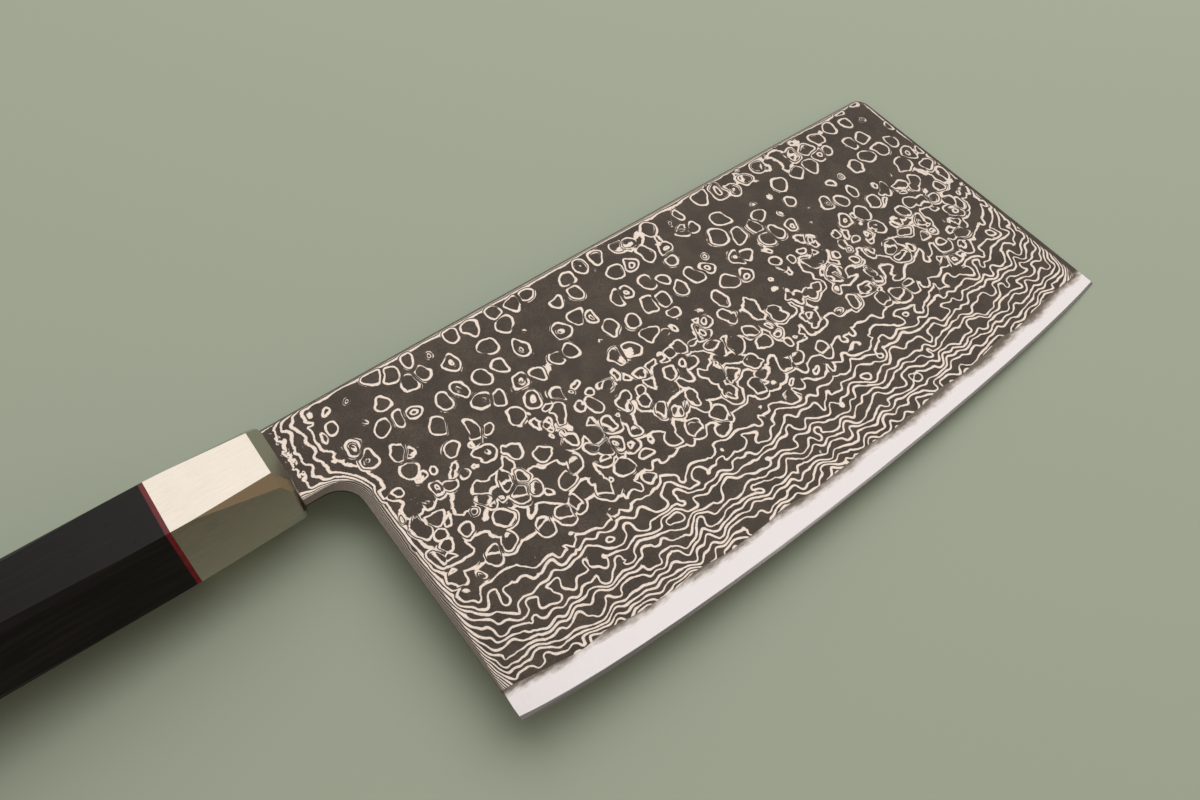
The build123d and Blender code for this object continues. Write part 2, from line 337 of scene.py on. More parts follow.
@dataclass(frozen=True)
class BladeShape:
    """The blade's outline in the knife's frame, for patterns that follow it."""

    neck_x: float = 24.8
    heel_x: float = 35.35
    heel_edge_x: float = 36.6
    tip_edge_x: float = 216.4
    tip_lean: float = 0.023
    heel_edge_y: float = -74.3
    tip_rise: float = 5.5
    belly: float = 4.65
    belly_swing: float = 0.39
    neck_y: float = -10.35
    choil_radius: float = 6.4
    spine_y: float = 11.75
    spine_slope: float = 0.015
    band_heel: float = 6.9
    band_tip: float = 5.3
    band_wave: float = 0.32
    long_waves: int = 8
    short_waves: int = 15
    short_share: float = 0.5
    short_phase: float = 1.0

    def edge_share(self, graph: Graph, x: Socket) -> Socket:
        """Return how far along the cutting edge a place is.

        Args:
            graph: The tree to write in.
            x: The place along the knife.

        Returns:
            0 at the heel, 1 at the tip.
        """
        length = self.tip_edge_x - self.heel_edge_x
        share = graph.math("DIVIDE", graph.less(x, self.heel_edge_x), length, clamp=True)
        arch = graph.times(share, graph.less(1.0, share))
        lopsided = graph.times(arch, graph.less(1.0, graph.times(share, 2.0)))
        return graph.add(share, graph.times(lopsided, self.belly_swing))

    def above_edge(self, graph: Graph, x: Socket, y: Socket) -> Socket:
        """Return the height of a place over the cutting edge.

        Args:
            graph: The tree to write in.
            x: The place along the knife.
            y: The place across the knife.

        Returns:
            The height in millimetres.
        """
        share = self.edge_share(graph, x)
        sag = graph.times(graph.times(share, graph.less(1.0, share)), 4 * self.belly)
        edge_y = graph.less(graph.add(graph.times(share, self.tip_rise), self.heel_edge_y), sag)
        return graph.less(y, edge_y)

    def lamination(self, graph: Graph, x: Socket) -> Socket:
        """Return the height over the edge at which the cladding starts.

        Args:
            graph: The tree to write in.
            x: The place along the knife.

        Returns:
            The height in millimetres.
        """
        share = self.edge_share(graph, x)
        mean = graph.add(graph.times(share, self.band_tip - self.band_heel), self.band_heel)
        drift = graph.math("SINE", graph.times(share, math.tau))
        long_turn = graph.times(share, math.tau * self.long_waves)
        long_wave = graph.math("SINE", graph.add(long_turn, drift))
        short_turn = graph.times(share, math.tau * self.short_waves)
        short_wave = graph.math("SINE", graph.add(short_turn, self.short_phase, drift))
        wave = graph.add(long_wave, graph.times(short_wave, self.short_share))
        return graph.add(mean, graph.times(wave, self.band_wave))

    def from_heel(self, graph: Graph, x: Socket, y: Socket) -> Socket:
        """Return the distance from the heel, the choil's arc and the neck's underside.

        Args:
            graph: The tree to write in.
            x: The place along the knife.
            y: The place across the knife.

        Returns:
            The distance in millimetres, positive inside the blade.
        """
        right = graph.most(graph.less(x, self.heel_x - self.choil_radius), 0.0)
        up = graph.most(graph.less(y, self.neck_y - self.choil_radius), 0.0)
        return graph.less(graph.length(graph.join(right, up)), self.choil_radius)

    def from_tip(self, graph: Graph, x: Socket, y: Socket) -> Socket:
        """Return the distance of a place from the tip."""
        lean = graph.times(graph.add(y, -self.heel_edge_y), self.tip_lean)
        return graph.less(graph.less(self.tip_edge_x, lean), x)

    def from_spine(self, graph: Graph, x: Socket, y: Socket) -> Socket:
        """Return the distance of a place from the spine."""
        climb = graph.times(graph.less(x, self.neck_x), self.spine_slope)
        return graph.less(graph.add(climb, self.spine_y), y)


@dataclass(frozen=True)
class Zones:
    """The pattern's zones: waves low over the edge, a mixed zone in the middle."""

    low: Ramp = Ramp(34.0, 20.0)
    middle_top: Ramp = Ramp(64.0, 52.0)
    middle_foot: Ramp = Ramp(30.0, 40.0)


class Spot:
    """A shaded place on the blade: where it lies, and its share of each zone."""

    def __init__(self, graph: Graph, shape: BladeShape, zones: Zones, point: Socket) -> None:
        """Measure the place.

        Args:
            graph: The tree to write in.
            shape: The blade's outline.
            zones: The pattern's zones.
            point: The place in the knife's frame.
        """
        self.x, self.y, _ = graph.split(point)
        self.flat = graph.join(self.x, self.y)
        self.height = shape.above_edge(graph, self.x, self.y)
        self.heel = shape.from_heel(graph, self.x, self.y)
        self.tip = shape.from_tip(graph, self.x, self.y)
        self.spine = shape.from_spine(graph, self.x, self.y)
        self.low = graph.step(self.height, zones.low)
        self.middle = graph.times(graph.step(self.height, zones.middle_top),
                                  graph.step(self.height, zones.middle_foot))


class Relief:
    """One part of the layers' relief, counted in layers: the base of all the others."""

    def rise(self, graph: Graph, spot: Spot) -> Socket:
        """Return by how many layers this part lifts the steel at a place.

        Args:
            graph: The tree to write in.
            spot: The place.

        Returns:
            The rise.
        """
        raise NotImplementedError


@dataclass(frozen=True)
class Grind(Relief):
    """The grind, which cuts ever more layers towards the edge, with webs by the spine."""

    layers: float = 19.4
    reach: float = 61.8
    power: float = 3.0
    rest_level: float = 0.4
    drift: Grain = Grain(34.0, 1.0)
    drift_rise: float = 0.45
    web: Grain = Grain(24.0, 0.0)
    web_kept: Ramp = Ramp(0.38, 0.55)
    web_by_spine: Ramp = Ramp(15.0, 6.0)
    web_rise: Ramp = Ramp(80.0, 125.0, 0.12, 0.44)

    def rise(self, graph: Graph, spot: Spot) -> Socket:
        """Return the layer that the grind lays open.

        Args:
            graph: The tree to write in.
            spot: The place.

        Returns:
            The layer's number, with the webs by the spine.
        """
        left = graph.most(graph.less(1.0, graph.times(spot.height, 1 / self.reach)), 0.0)
        cut = graph.times(graph.math("POWER", left, self.power), self.layers)
        drift = graph.times(graph.sway(spot.flat, self.drift), self.drift_rise)
        ground = graph.add(graph.less(self.rest_level, cut), drift)
        kept = graph.step(graph.noise(spot.flat, self.web), self.web_kept)
        web = graph.times(graph.step(spot.spine, self.web_by_spine), kept)
        return graph.add(ground, graph.times(web, graph.step(spot.x, self.web_rise)))


@dataclass(frozen=True)
class Rims(Relief):
    """The eased rim, where the steel is cut deeper still: its rise is taken off the grind's."""

    past_wall: float = -0.4
    heel: Fall = Fall(1.6, 13.2)
    heel_squeeze: Ramp = Ramp(27.0, 36.0, 2.0, 1.0)
    spine: Fall = Fall(0.42, 9.0)
    tip: Fall = Fall(0.35, 7.0)
    tip_sweep: Fall = Fall(2.4, 4.6)
    tip_sweep_side: Ramp = Ramp(-8.0, -48.0)
    neck: Ramp = Ramp(37.5, 24.0, 0.0, 4.0)

    def rise(self, graph: Graph, spot: Spot) -> Socket:
        """Return how much deeper the steel is cut near the rim.

        Args:
            graph: The tree to write in.
            spot: The place.

        Returns:
            The cut in layers.
        """
        heel = graph.times(spot.heel, graph.step(spot.x, self.heel_squeeze))
        near = ((heel, self.heel), (spot.spine, self.spine), (spot.tip, self.tip))
        cuts = [graph.decay(graph.most(distance, self.past_wall), fall)
                for distance, fall in near]
        sweep = graph.decay(graph.most(spot.tip, 0.0), self.tip_sweep)
        cuts.append(graph.times(sweep, graph.step(spot.y, self.tip_sweep_side)))
        cuts.append(graph.step(spot.x, self.neck))
        return graph.add(*cuts)


@dataclass(frozen=True)
class Dome:
    """A field of domes, one to a cell, spaced in millimetres and sized in spacings."""

    spacing: float
    scatter: float
    reach: float
    spread: float
    flank: float
    gap: float
    kept: Ramp

    def cells(self, graph: Graph, vector: Socket) -> tuple[Socket, Socket, Socket]:
        """Return the field's cells; see Graph.cells."""
        return graph.cells(vector, self.spacing, self.scatter)

    def radius(self, graph: Graph, size: Socket) -> Socket:
        """Return the domes' radius from a random size."""
        return graph.add(graph.times(size, self.spread), self.reach)

    def rise(self, graph: Graph, distance: Socket, border: Socket, radius: Socket) -> Socket:
        """Return a flat-topped dome of height 1 that ends at its cell's border.

        Args:
            graph: The tree to write in.
            distance: The distance to the cell's centre.
            border: The distance to the cell's border.
            radius: The dome's radius.

        Returns:
            The dome's height.
        """
        top = graph.fade(distance, radius, graph.less(radius, self.flank))
        return graph.times(top, graph.fade(border, 0.0, self.gap))


@dataclass(frozen=True)
class Bumps(Relief):
    """The bumps that the grind opens to rings: large ones, and pebbles in the mixed zone."""

    wander: Grain = Grain(6.0, 1.0)
    wander_reach: float = 3.0
    shiver: Grain = Grain(1.6, 1.0)
    shiver_reach: float = 0.2
    middle_shiver: float = 0.2
    large: Dome = Dome(5.9, 0.7, 0.4, 0.14, 0.23, 0.12, Ramp(0.06, 0.08, 0.1, 1.0))
    large_stretch: Triple = (1.08, 0.9, 1.0)
    large_rise: float = 0.98
    solid_share: float = 0.2
    solid_shrink: float = 0.4
    solid_drop: float = 0.38
    eye: Ramp = Ramp(0.2, 0.05)
    eye_kept: Ramp = Ramp(0.76, 0.8)
    eye_rise: float = 1.6
    pebble: Dome = Dome(5.0, 0.95, 0.36, 0.16, 0.27, 0.2, Ramp(0.42, 0.52, 0.1, 1.0))
    pebble_shift: Triple = (31.0, 17.0, 0.0)
    pebble_rise: tuple[float, float] = (0.1, 1.0)
    low_calm: float = 0.88
    past_neck: Ramp = Ramp(33.0, 37.0)

    def place(self, graph: Graph, spot: Spot) -> Socket:
        """Return where the cells are read.

        Args:
            graph: The tree to write in.
            spot: The place.

        Returns:
            The place, pushed about so that no bump is round.
        """
        reach = graph.add(graph.times(spot.middle, self.middle_shiver), self.shiver_reach)
        wandering = graph.stir(spot.flat, self.wander, self.wander_reach)
        return graph.stir(wandering, self.shiver, reach)

    def large_bumps(self, graph: Graph, place: Socket) -> Socket:
        """Return the large bumps: some small and solid, some with an eye in the middle.

        Args:
            graph: The tree to write in.
            place: Where the cells are read.

        Returns:
            Their rise in layers.
        """
        stretched = graph.vector("MULTIPLY", place, self.large_stretch)
        distance, border, colour = self.large.cells(graph, stretched)
        size, pick, heart = graph.split(colour)
        solid = graph.math("LESS_THAN", pick, self.solid_share)
        shrink = graph.less(1.0, graph.times(solid, self.solid_shrink))
        radius = graph.times(self.large.radius(graph, size), shrink)
        top = graph.times(graph.less(self.large_rise, graph.times(solid, self.solid_drop)),
                          graph.step(pick, self.large.kept))
        bump = graph.times(self.large.rise(graph, distance, border, radius), top)
        eye = graph.times(graph.step(distance, self.eye), graph.step(heart, self.eye_kept))
        return graph.add(bump, graph.times(eye, graph.less(self.eye_rise, bump)))

    def pebbles(self, graph: Graph, place: Socket) -> Socket:
        """Return the pebbles.

        Args:
            graph: The tree to write in.
            place: Where the cells are read.

        Returns:
            Their rise in layers.
        """
        shifted = graph.vector("ADD", place, self.pebble_shift)
        distance, border, colour = self.pebble.cells(graph, shifted)
        size, pick, _ = graph.split(colour)
        radius = self.pebble.radius(graph, size)
        return graph.times(self.pebble.rise(graph, distance, border, radius),
                           graph.step(pick, self.pebble.kept))

    def rise(self, graph: Graph, spot: Spot) -> Socket:
        """Return the bumps, few in the low zone and none at the neck.

        Args:
            graph: The tree to write in.
            spot: The place.

        Returns:
            Their rise in layers.
        """
        place = self.place(graph, spot)
        share = graph.mix(spot.middle, *self.pebble_rise)
        bumps = graph.most(self.large_bumps(graph, place),
                           graph.times(self.pebbles(graph, place), share))
        bumps = graph.times(bumps, graph.less(1.0, graph.times(spot.low, self.low_calm)))
        return graph.times(bumps, graph.step(spot.x, self.past_neck))


@dataclass(frozen=True)
class Waves(Relief):
    """The waves of the layers, highest in the low zone, calm at the heel and the ferrule."""

    swing: Grain = Grain(5.2, 0.0)
    push: Grain = Grain(7.0, 0.0)
    push_reach: float = 4.5
    low_rise: float = 1.9
    middle_rise: float = 0.9
    least_rise: float = 0.8
    ripple: Grain = Grain(3.3, 0.0)
    ripple_rise: float = 1.5
    heel_calm: Ramp = Ramp(2.0, 6.0, 0.3, 1.0)
    ferrule_calm: Ramp = Ramp(26.0, 28.5, 0.3, 1.0)

    def rise(self, graph: Graph, spot: Spot) -> Socket:
        """Return the waves.

        Args:
            graph: The tree to write in.
            spot: The place.

        Returns:
            Their rise in layers.
        """
        swing = graph.sway(graph.stir(spot.flat, self.push, self.push_reach), self.swing)
        strength = graph.add(graph.times(spot.low, self.low_rise),
                             graph.times(spot.middle, self.middle_rise), self.least_rise)
        ripple = graph.times(graph.sway(spot.flat, self.ripple),
                             graph.times(spot.low, self.ripple_rise))
        calm = graph.times(graph.step(spot.heel, self.heel_calm),
                           graph.step(spot.x, self.ferrule_calm))
        return graph.times(graph.add(graph.times(swing, strength), ripple), calm)


@dataclass(frozen=True)
class Jags(Relief):
    """The fine jags of the lines, strongest by the ferrule and weakest over the edge."""

    fine: Grain = Grain(1.2, 1.0)
    neck: Ramp = Ramp(30.0, 27.5, 0.0, 0.65)
    past_ferrule: Ramp = Ramp(25.4, 26.8)
    by_height: Ramp = Ramp(20.0, 60.0, 0.03, 0.12)

    def rise(self, graph: Graph, spot: Spot) -> Socket:
        """Return the jags.

        Args:
            graph: The tree to write in.
            spot: The place.

        Returns:
            Their rise in layers.
        """
        teeth = graph.times(graph.step(spot.x, self.neck), graph.step(spot.x, self.past_ferrule))
        strength = graph.add(teeth, graph.step(spot.height, self.by_height))
        return graph.times(graph.sway(spot.flat, self.fine), strength)


@dataclass(frozen=True)
class Zigzags(Relief):
    """The zigzags of the upright lines at the neck."""

    grain: Grain = Grain(2.4, 0.0)
    neck: Ramp = Ramp(40.0, 31.0)
    past_ferrule: Ramp = Ramp(26.0, 28.5, 0.2, 0.85)

    def rise(self, graph: Graph, spot: Spot) -> Socket:
        """Return the zigzags.

        Args:
            graph: The tree to write in.
            spot: The place.

        Returns:
            Their rise in layers.
        """
        strength = graph.times(graph.step(spot.x, self.neck),
                               graph.step(spot.x, self.past_ferrule))
        return graph.times(graph.sway(spot.flat, self.grain), strength)


@dataclass(frozen=True)
class LayerMap:
    """The map of the layers: where it is a whole number, a bright layer comes out."""

    shape: BladeShape = BladeShape()
    zones: Zones = Zones()
    grind: Grind = Grind()
    rims: Rims = Rims()
    reliefs: tuple[Relief, ...] = (Bumps(), Waves(), Jags(), Zigzags())

    def build(self) -> bpy.types.NodeTree:
        """Make the map's node group.

        Returns:
            The group, from a point in millimetres to the layer's number.
        """
        tree = bpy.data.node_groups.new("steel_layers", "ShaderNodeTree")
        tree.interface.new_socket("Point", in_out="INPUT", socket_type="NodeSocketVector")
        tree.interface.new_socket("Layer", in_out="OUTPUT", socket_type="NodeSocketFloat")
        graph = Graph(tree)
        point = graph.node("NodeGroupInput").outputs[0]
        spot = Spot(graph, self.shape, self.zones, point)
        ground = graph.less(self.grind.rise(graph, spot), self.rims.rise(graph, spot))
        rises = [relief.rise(graph, spot) for relief in self.reliefs]
        graph.feed(graph.node("NodeGroupOutput").inputs[0], graph.add(ground, *rises))
        return tree


@dataclass(frozen=True)
class Lines:
    """The bright lines, of one width in millimetres however steep the layers lie."""

    layers: LayerMap = LayerMap()
    step: float = 0.06
    least_slope: float = 0.14
    width: Ramp = Ramp(12.0, 40.0, 0.48, 0.64)
    upper_width: Ramp = Ramp(56.0, 64.0, 0.0, 0.1)
    swell: Grain = Grain(3.6, 2.0)
    swell_share: Ramp = Ramp(0.3, 0.72, 0.62, 1.3)
    ragged: Grain = Grain(0.4, 1.0)
    ragged_share: Ramp = Ramp(20.0, 45.0, 0.25, 0.6)
    widest: Ramp = Ramp(1.0, 2.6, 0.33, 0.22)
    edge_outer: float = 1.25
    edge_inner: float = 0.7
    heel_rim: Ramp = Ramp(5.0, 3.5)
    spine_rim: Ramp = Ramp(2.5, 1.5)
    hairline: Ramp = Ramp(0.09, 0.16)
    crowded: Ramp = Ramp(2.7, 3.9)
    crowded_share: float = 0.36

    def layer(self, graph: Graph, tree: bpy.types.NodeTree, point: Socket) -> Socket:
        """Return the number of the layer at a point."""
        return graph.fed("ShaderNodeGroup", (point,), node_tree=tree)[0]

    def slope(self, graph: Graph, tree: bpy.types.NodeTree, point: Socket,
              here: Socket) -> Socket:
        """Return how many layers are crossed in a millimetre.

        Args:
            graph: The tree to write in.
            tree: The map of the layers.
            point: The shaded point in the knife's frame.
            here: The layer at that point.

        Returns:
            The slope, never quite flat.
        """
        beside, above = (graph.vector("ADD", point, way)
                         for way in ((self.step, 0.0, 0.0), (0.0, self.step, 0.0)))
        beside = graph.less(self.layer(graph, tree, beside), here)
        above = graph.less(self.layer(graph, tree, above), here)
        crossed = graph.length(graph.join(beside, above))
        return graph.most(graph.times(crossed, 1 / self.step), self.least_slope)

    def half_width(self, graph: Graph, point: Socket, height: Socket, slope: Socket) -> Socket:
        """Return half the width of a line, in layers.

        Args:
            graph: The tree to write in.
            point: The shaded point in the knife's frame.
            height: Its height over the edge.
            slope: The slope of the layers.

        Returns:
            The half width, which swells and is ragged.
        """
        width = graph.add(graph.step(height, self.width), graph.step(height, self.upper_width))
        swell = graph.step(graph.noise(point, self.swell), self.swell_share)
        ragged = graph.times(graph.sway(point, self.ragged),
                             graph.step(height, self.ragged_share))
        half = graph.times(graph.times(slope, width), graph.times(graph.add(swell, ragged), 0.5))
        return graph.math("MINIMUM", half, graph.step(slope, self.widest))

    def draw(self, graph: Graph, point: Socket) -> Socket:
        """Return the pattern of bright lines.

        Args:
            graph: The tree to write in.
            point: The shaded point in the knife's frame.

        Returns:
            1 on a bright line, 0 on the dark ground, between them where lines crowd.
        """
        shape = self.layers.shape
        tree = self.layers.build()
        x, y, _ = graph.split(point)
        here = self.layer(graph, tree, point)
        slope = self.slope(graph, tree, point, here)
        half = self.half_width(graph, point, shape.above_edge(graph, x, y), slope)
        off = graph.math("ABSOLUTE", graph.less(here, graph.math("ROUND", here)))
        line = graph.fade(off, graph.times(half, self.edge_outer),
                          graph.times(half, self.edge_inner))
        near_rim = graph.most(graph.step(shape.from_heel(graph, x, y), self.heel_rim),
                              graph.step(shape.from_spine(graph, x, y), self.spine_rim))
        wide = graph.step(graph.math("DIVIDE", half, slope), self.hairline)
        return graph.mix(graph.step(slope, self.crowded),
                         graph.times(line, graph.most(wide, near_rim)),
                         graph.times(near_rim, self.crowded_share))


@dataclass(frozen=True, kw_only=True)
class Finish:
    """A finish that a surface is given: the base of every material here."""

    name: str
    axis: KnifeAxis = KnifeAxis()

    def build(self) -> bpy.types.Material:
        """Make the material.

        Returns:
            The finished material.
        """
        material = bpy.data.materials.new(self.name)
        material.use_nodes = True
        self.paint(Graph(material.node_tree), material.node_tree.nodes["Principled BSDF"].inputs)
        return material

    def paint(self, graph: Graph, surface: bpy.types.NodeInputs) -> None:
        """Write the material's nodes.

        Args:
            graph: The material's tree.
            surface: The inputs of its surface shader.
        """
        raise NotImplementedError


@dataclass(frozen=True)
class LayeredSteel(Finish):
    """Etched layered steel: bright lines where the layers come out of the ground face."""

    name: str = "etched_layered_steel"
    lines: Lines = Lines()
    dark: Colour = (65, 58, 51)
    dark_warm: Colour = (77, 68, 60)
    dark_speck: Colour = (44, 39, 34)
    bright: Colour = (190, 179, 169)
    bright_speck: Colour = (146, 134, 124)
    cloud: Grain = Grain(6.0, 3.0, 0.6)
    cloud_warm: Ramp = Ramp(0.35, 0.7)
    speck: Grain = Grain(0.28, 2.0, 0.7)
    speck_on_dark: Ramp = Ramp(0.4, 0.7, 0.0, 0.7)
    speck_on_bright: Ramp = Ramp(0.45, 0.75, 0.0, 0.6)
    metallic: tuple[float, float] = (0.75, 1.0)
    roughness: tuple[float, float] = (0.44, 0.3)
    speck_roughness: float = 0.16
    speck_relief: float = 0.35
    relief: Bump = Bump(0.35, 0.00002)

    def paint(self, graph: Graph, surface: bpy.types.NodeInputs) -> None:
        """Write the material's nodes.

        Args:
            graph: The material's tree.
            surface: The inputs of its surface shader.
        """
        point = self.axis.read(graph)
        mask = self.lines.draw(graph, point)
        speck = graph.noise(point, self.speck, flat=False)
        warm = graph.step(graph.noise(point, self.cloud, flat=False), self.cloud_warm)
        ground = graph.blend(warm, linear(*self.dark), linear(*self.dark_warm))
        ground = graph.blend(graph.step(speck, self.speck_on_dark), ground,
                             linear(*self.dark_speck))
        shine = graph.blend(graph.step(speck, self.speck_on_bright), linear(*self.bright),
                            linear(*self.bright_speck))
        swing = graph.times(graph.less(speck, NOISE_MIDDLE), self.speck_roughness)
        relief = graph.add(mask, graph.times(speck, self.speck_relief))
        graph.feed(surface["Base Color"], graph.blend(mask, ground, shine))
        graph.feed(surface["Metallic"], graph.mix(mask, *self.metallic))
        graph.feed(surface["Roughness"], graph.add(graph.mix(mask, *self.roughness), swing))
        graph.feed(surface["Normal"], graph.bump(relief, self.relief))


@dataclass(frozen=True)
class CoreSteel(Finish):
    """Polished hard steel along the cutting edge, clouded where the cladding ends."""

    name: str = "polished_core_steel"
    shape: BladeShape = BladeShape()
    bright: Colour = (178, 174, 174)
    clouded: Colour = (150, 140, 130)
    dark: Colour = (92, 84, 76)
    rim_tone: Colour = (128, 122, 118)
    wisp: Grain = Grain(0.9, 3.0, 0.6)
    wisp_stretch: float = 0.35
    wisp_reach: float = 1.8
    clearing: Ramp = Ramp(-0.1, 2.3)
    clearing_power: float = 1.6
    rim: Ramp = Ramp(0.28, 0.08)
    rim_share: float = 0.6
    streak: Grain = Grain(0.35, 3.0, 0.6)
    streak_stretch: tuple[float, float] = (2.2, 0.12)
    roughness: tuple[float, float] = (0.42, 0.2)
    streak_roughness: float = 0.1
    relief: Bump = Bump(0.06, 0.00001)

    def paint(self, graph: Graph, surface: bpy.types.NodeInputs) -> None:
        """Write the material's nodes.

        Args:
            graph: The material's tree.
            surface: The inputs of its surface shader.
        """
        x, y, _ = graph.split(self.axis.read(graph))
        height = self.shape.above_edge(graph, x, y)
        below = graph.less(self.shape.lamination(graph, x), height)
        wisp = graph.sway(graph.join(graph.times(x, self.wisp_stretch), y), self.wisp)
        wisp = graph.times(wisp, self.wisp_reach)
        clear = graph.step(graph.add(below, wisp), self.clearing)
        tone = graph.blend(clear, linear(*self.dark), linear(*self.clouded))
        polish = graph.math("POWER", clear, self.clearing_power)
        tone = graph.blend(polish, tone, linear(*self.bright))
        rim = graph.times(graph.step(height, self.rim), self.rim_share)
        along, across = self.streak_stretch
        streak_place = graph.join(graph.times(x, along), graph.times(y, across))
        streak = graph.noise(streak_place, self.streak)
        swing = graph.times(graph.less(streak, NOISE_MIDDLE), self.streak_roughness)
        graph.feed(surface["Base Color"], graph.blend(rim, tone, linear(*self.rim_tone)))
        graph.feed(surface["Metallic"], 1.0)
        graph.feed(surface["Roughness"], graph.add(graph.mix(clear, *self.roughness), swing))
        graph.feed(surface["Normal"], graph.bump(streak, self.relief))


@dataclass(frozen=True)
class NickelSilver(Finish):
    """Satin nickel silver of the ferrule, with faint polishing lines along it."""

    name: str = "satin_nickel_silver"
    light: Colour = (185, 178, 168)
    shade: Colour = (183, 176, 166)
    cloud: Grain = Grain(5.0, 2.0, 0.5)
    clouding: Ramp = Ramp(0.3, 0.7)
    lines: Grain = Grain(0.16, 2.0, 0.6)
    lines_stretch: float = 0.03
    roughness: Ramp = Ramp(0.25, 0.75, 0.15, 0.26)
    relief: Bump = Bump(0.05, 0.000005)

    def paint(self, graph: Graph, surface: bpy.types.NodeInputs) -> None:
        """Write the material's nodes.

        Args:
            graph: The material's tree.
            surface: The inputs of its surface shader.
        """
        point = self.axis.read(graph)
        x, y, z = graph.split(point)
        stretched = graph.join(graph.times(x, self.lines_stretch), y, z)
        lines = graph.noise(stretched, self.lines, flat=False)
        cloud = graph.step(graph.noise(point, self.cloud, flat=False), self.clouding)
        tone = graph.blend(cloud, linear(*self.light), linear(*self.shade))
        graph.feed(surface["Base Color"], tone)
        graph.feed(surface["Metallic"], 1.0)
        graph.feed(surface["Roughness"], graph.step(lines, self.roughness))
        graph.feed(surface["Normal"], graph.bump(lines, self.relief))


@dataclass(frozen=True)
class DarkWood(Finish):
    """Polished near-black hardwood with a faint grain along the handle."""

    name: str = "near_black_hardwood"
    deep: Colour = (11, 10, 11)
    brown: Colour = (29, 25, 24)
    pore_tone: Colour = (12, 10, 10)
    bend: Grain = Grain(40.0, 1.0)
    bend_reach: float = 3.0
    grain: Grain = Grain(1.1, 4.0, 0.65)
    grain_stretch: float = 0.04
    grain_tone: Ramp = Ramp(0.38, 0.72)
    grain_roughness: Ramp = Ramp(0.3, 0.75, 0.38, 0.5)
    grain_relief: float = 0.4
    pores: Grain = Grain(0.22, 2.0, 0.6)
    pores_stretch: float = 0.12
    pores_kept: Ramp = Ramp(0.62, 0.74)
    pores_share: float = 0.7
    pores_roughness: float = 0.2
    specular: float = 0.22
    relief: Bump = Bump(0.3, 0.00003)

    def paint(self, graph: Graph, surface: bpy.types.NodeInputs) -> None:
        """Write the material's nodes.

        Args:
            graph: The material's tree.
            surface: The inputs of its surface shader.
        """
        bent = graph.stir(self.axis.read(graph), self.bend, self.bend_reach, flat=False)
        x, y, z = graph.split(bent)
        grain, pores = (
            graph.noise(graph.join(graph.times(x, stretch), y, z), pattern, flat=False)
            for stretch, pattern in ((self.grain_stretch, self.grain),
                                     (self.pores_stretch, self.pores)))
        pore = graph.step(pores, self.pores_kept)
        tone = graph.blend(graph.step(grain, self.grain_tone), linear(*self.deep),
                           linear(*self.brown))
        tone = graph.blend(graph.times(pore, self.pores_share), tone, linear(*self.pore_tone))
        rough = graph.add(graph.step(grain, self.grain_roughness),
                          graph.times(pore, self.pores_roughness))
        relief = graph.less(graph.times(grain, self.grain_relief), pore)
        graph.feed(surface["Base Color"], tone)
        graph.feed(surface["Roughness"], rough)
        graph.feed(surface["Specular IOR Level"], self.specular)
        graph.feed(surface["Normal"], graph.bump(relief, self.relief))


@dataclass(frozen=True, kw_only=True)
class Clouded(Finish):
    """A cast finish with soft clouds from a deep to a light tone."""

    deep: Colour
    light: Colour
    cloud: Grain
    clouding: Ramp = Ramp(0.3, 0.7)
    roughness: Ramp
    specular: float = 0.5

    def paint(self, graph: Graph, surface: bpy.types.NodeInputs) -> None:
        """Write the material's nodes.

        Args:
            graph: The material's tree.
            surface: The inputs of its surface shader.
        """
        cloud = graph.noise(self.axis.read(graph), self.cloud, flat=False)
        tone = graph.blend(graph.step(cloud, self.clouding), linear(*self.deep),
                           linear(*self.light))
        graph.feed(surface["Base Color"], tone)
        graph.feed(surface["Roughness"], graph.step(cloud, self.roughness))
        graph.feed(surface["Specular IOR Level"], self.specular)


@dataclass(frozen=True)
class RedSpacer(Clouded):
    """Polished dark red spacer."""

    name: str = "polished_red_spacer"
    deep: Colour = (92, 8, 18)
    light: Colour = (124, 20, 34)
    cloud: Grain = Grain(2.4, 3.0, 0.6)
    roughness: Ramp = Ramp(0.3, 0.7, 0.28, 0.4)
    specular: float = 0.35


@dataclass(frozen=True)
class Resin(Clouded):
    """Cured resin around the hidden tang."""

    name: str = "cured_bedding_resin"
    deep: Colour = (92, 76, 52)
    light: Colour = (120, 101, 72)
    cloud: Grain = Grain(1.5, 3.0, 0.6)
    roughness: Ramp = Ramp(0.3, 0.7, 0.35, 0.5)


@dataclass(frozen=True)
class PaleTable(Finish):
    """Matt sage green paper on the table."""

    name: str = "sage_paper"
    tone: Colour = (173, 184, 166)
    roughness: float = 0.9

    def paint(self, graph: Graph, surface: bpy.types.NodeInputs) -> None:
        """Set the colour and the roughness."""
        graph.feed(surface["Base Color"], linear(*self.tone))
        graph.feed(surface["Roughness"], self.roughness)


def dress(node: Node, material: bpy.types.Material) -> None:
    """Give a piece of the frame its material in every slot.

    Args:
        node: The piece.
        material: Its finish.
    """
    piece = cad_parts[node.value]
    if not piece.material_slots:
        piece.data.materials.append(material)
    for slot in piece.material_slots:
        slot.material = material
    LOG.info("%s wears %s", node.value, material.name)


@dataclass
class Blade:
    """The three-layer blade: polished core and etched claddings."""

    steel: LayeredSteel = LayeredSteel()
    core: CoreSteel = CoreSteel()

    def build(self) -> None:
        """Dress the blade's three pieces."""
        etched = self.steel.build()
        dress(Node.CLADDING_TOP, etched)
        dress(Node.CLADDING_BOTTOM, etched)
        dress(Node.CORE, self.core.build())


